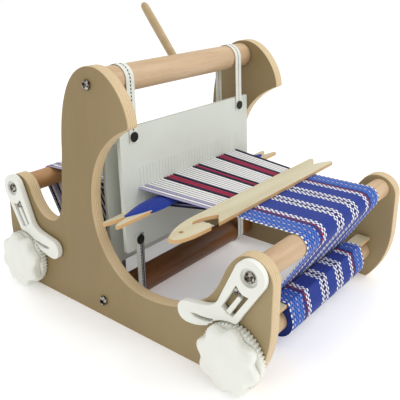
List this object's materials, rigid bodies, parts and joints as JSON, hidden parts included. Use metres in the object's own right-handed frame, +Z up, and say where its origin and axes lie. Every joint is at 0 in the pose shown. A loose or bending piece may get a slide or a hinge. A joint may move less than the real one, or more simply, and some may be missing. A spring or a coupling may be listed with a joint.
{
  "type": "table loom",
  "caption": "Small two-shaft table loom with plywood sides, roller-hung heddle boards, ratchet-held cloth and warp rollers, and a striped web in progress.",
  "frame": {"origin": "on the surface it stands on, under the middle of the whole outline", "axes": "+Z up, +Y from the weaver's side (front beam) to the warp side (back beam), +X from the knob side to the plain side"},
  "size_m": [0.334, 0.4, 0.3528],
  "materials": {
    "ply": "sanded plywood, clear satin finish",
    "beech": "sanded beech, oiled",
    "dark_wood": "brown stained wood",
    "birch": "sanded pale wood",
    "white_plastic": "moulded, satin sheen",
    "board_plastic": "smooth sheet",
    "steel": "zinc plated",
    "rivet": "black",
    "webbing": "narrow cotton webbing with a stitched line",
    "warp_thread": "plied cotton thread",
    "cloth": "warp-faced band with checked stripes",
    "yarn": "wool yarn"
  },
  "bodies": {
    "frame": {"left_side_panel": "ply", "right_side_panel": "ply", "front_beam": "beech", "back_beam": "beech", "left_front_beam_screw": "steel", "left_back_beam_screw": "steel", "left_top_roller_screw": "steel", "left_lower_roller_screw": "steel", "right_front_beam_screw": "steel", "right_back_beam_screw": "steel", "right_top_roller_screw": "steel", "right_lower_roller_screw": "steel", "cloth_roller_screw": "steel", "warp_roller_screw": "steel", "front_pawl_pin": "steel", "back_pawl_pin": "steel", "upper_left_strap": "webbing", "upper_right_strap": "webbing", "lower_left_strap": "webbing", "lower_right_strap": "webbing", "warp_front": "warp_thread", "warp_middle_upper": "warp_thread", "warp_middle_lower": "warp_thread", "warp_back": "warp_thread", "woven_cloth": "cloth"},
    "shed_roller": {"top_roller": "beech", "handle_stick": "beech"},
    "strap_roller": {"lower_roller": "dark_wood"},
    "front_board": {"front_heddle_board": "board_plastic", "front_upper_left_rivet": "rivet", "front_upper_right_rivet": "rivet", "front_lower_left_rivet": "rivet", "front_lower_right_rivet": "rivet"},
    "back_board": {"back_heddle_board": "board_plastic", "back_upper_left_rivet": "rivet", "back_upper_right_rivet": "rivet", "back_lower_left_rivet": "rivet", "back_lower_right_rivet": "rivet"},
    "cloth_winder": {"cloth_roller": "beech", "cloth_knob": "white_plastic", "cloth_roll": "cloth", "apron_stick": "birch"},
    "warp_winder": {"warp_roller": "beech", "warp_knob": "white_plastic", "warp_roll": "warp_thread"},
    "front_pawl": {"front_pawl": "white_plastic", "front_pawl_spring": "white_plastic"},
    "back_pawl": {"back_pawl": "white_plastic", "back_pawl_spring": "white_plastic"},
    "front_shuttle": {"front_shuttle": "birch"},
    "rear_shuttle": {"rear_shuttle": "birch", "weft_yarn": "yarn"}
  },
  "joints": [
    {"name": "shed_roller_turn", "type": "hinge", "parent": "frame", "child": "shed_roller", "pos_m": [0.0096, 0.0376, 0.276], "axis": [1, 0, 0], "range_deg": [-6.4, 83.6], "deforming": ["upper_left_strap", "upper_right_strap", "lower_left_strap", "lower_right_strap", "warp_front", "warp_middle_upper", "warp_middle_lower", "warp_back"]},
    {"name": "strap_roller_turn", "type": "hinge", "parent": "frame", "child": "strap_roller", "pos_m": [0.0096, 0.0245, 0.022], "axis": [1, 0, 0], "range_deg": [-8, 86]},
    {"name": "front_board_slide", "type": "slide", "parent": "frame", "child": "front_board", "axis": [0, 0.0515, 0.9987], "range_m": [-0.0255, 0.0025], "deforming": ["upper_left_strap", "upper_right_strap", "lower_left_strap", "lower_right_strap", "warp_front", "warp_middle_upper", "warp_middle_lower", "warp_back"]},
    {"name": "back_board_slide", "type": "slide", "parent": "frame", "child": "back_board", "axis": [0, 0.0515, 0.9987], "range_m": [-0.0025, 0.0255], "deforming": ["upper_left_strap", "upper_right_strap", "lower_left_strap", "lower_right_strap", "warp_front", "warp_middle_upper", "warp_middle_lower", "warp_back"]},
    {"name": "cloth_roller_turn", "type": "hinge", "parent": "frame", "child": "cloth_winder", "pos_m": [0.0096, -0.162, 0.036], "axis": [1, 0, 0], "continuous": true, "deforming": ["woven_cloth"]},
    {"name": "warp_roller_turn", "type": "hinge", "parent": "frame", "child": "warp_winder", "pos_m": [0.0096, 0.162, 0.036], "axis": [1, 0, 0], "continuous": true, "deforming": ["warp_back"]},
    {"name": "front_pawl_lift", "type": "hinge", "parent": "frame", "child": "front_pawl", "pos_m": [0.0096, -0.179, 0.127], "axis": [1, 0, 0], "range_deg": [0, 8], "stiffness_Nm_per_rad": 0.2, "springref_deg": -5.73, "deforming": ["front_pawl_spring"]},
    {"name": "back_pawl_lift", "type": "hinge", "parent": "frame", "child": "back_pawl", "pos_m": [0.0096, 0.179, 0.127], "axis": [1, 0, 0], "range_deg": [-8, 0], "stiffness_Nm_per_rad": 0.2, "springref_deg": 5.73, "deforming": ["back_pawl_spring"]},
    {"name": "front_shuttle_lift", "type": "slide", "parent": "frame", "child": "front_shuttle", "axis": [0, 0, 1], "range_m": [0, 0.12]},
    {"name": "rear_shuttle_throw", "type": "slide", "parent": "frame", "child": "rear_shuttle", "axis": [0.9996, 0.0295, -0.0032], "range_m": [-0.3, 0.3]}
  ],
  "couplings": [
    {"joint": "strap_roller_turn", "follows": "shed_roller_turn", "ratio": 1},
    {"joint": "front_board_slide", "follows": "shed_roller_turn", "m_per_rad": -0.0169},
    {"joint": "back_board_slide", "follows": "shed_roller_turn", "m_per_rad": 0.0169}
  ]
}
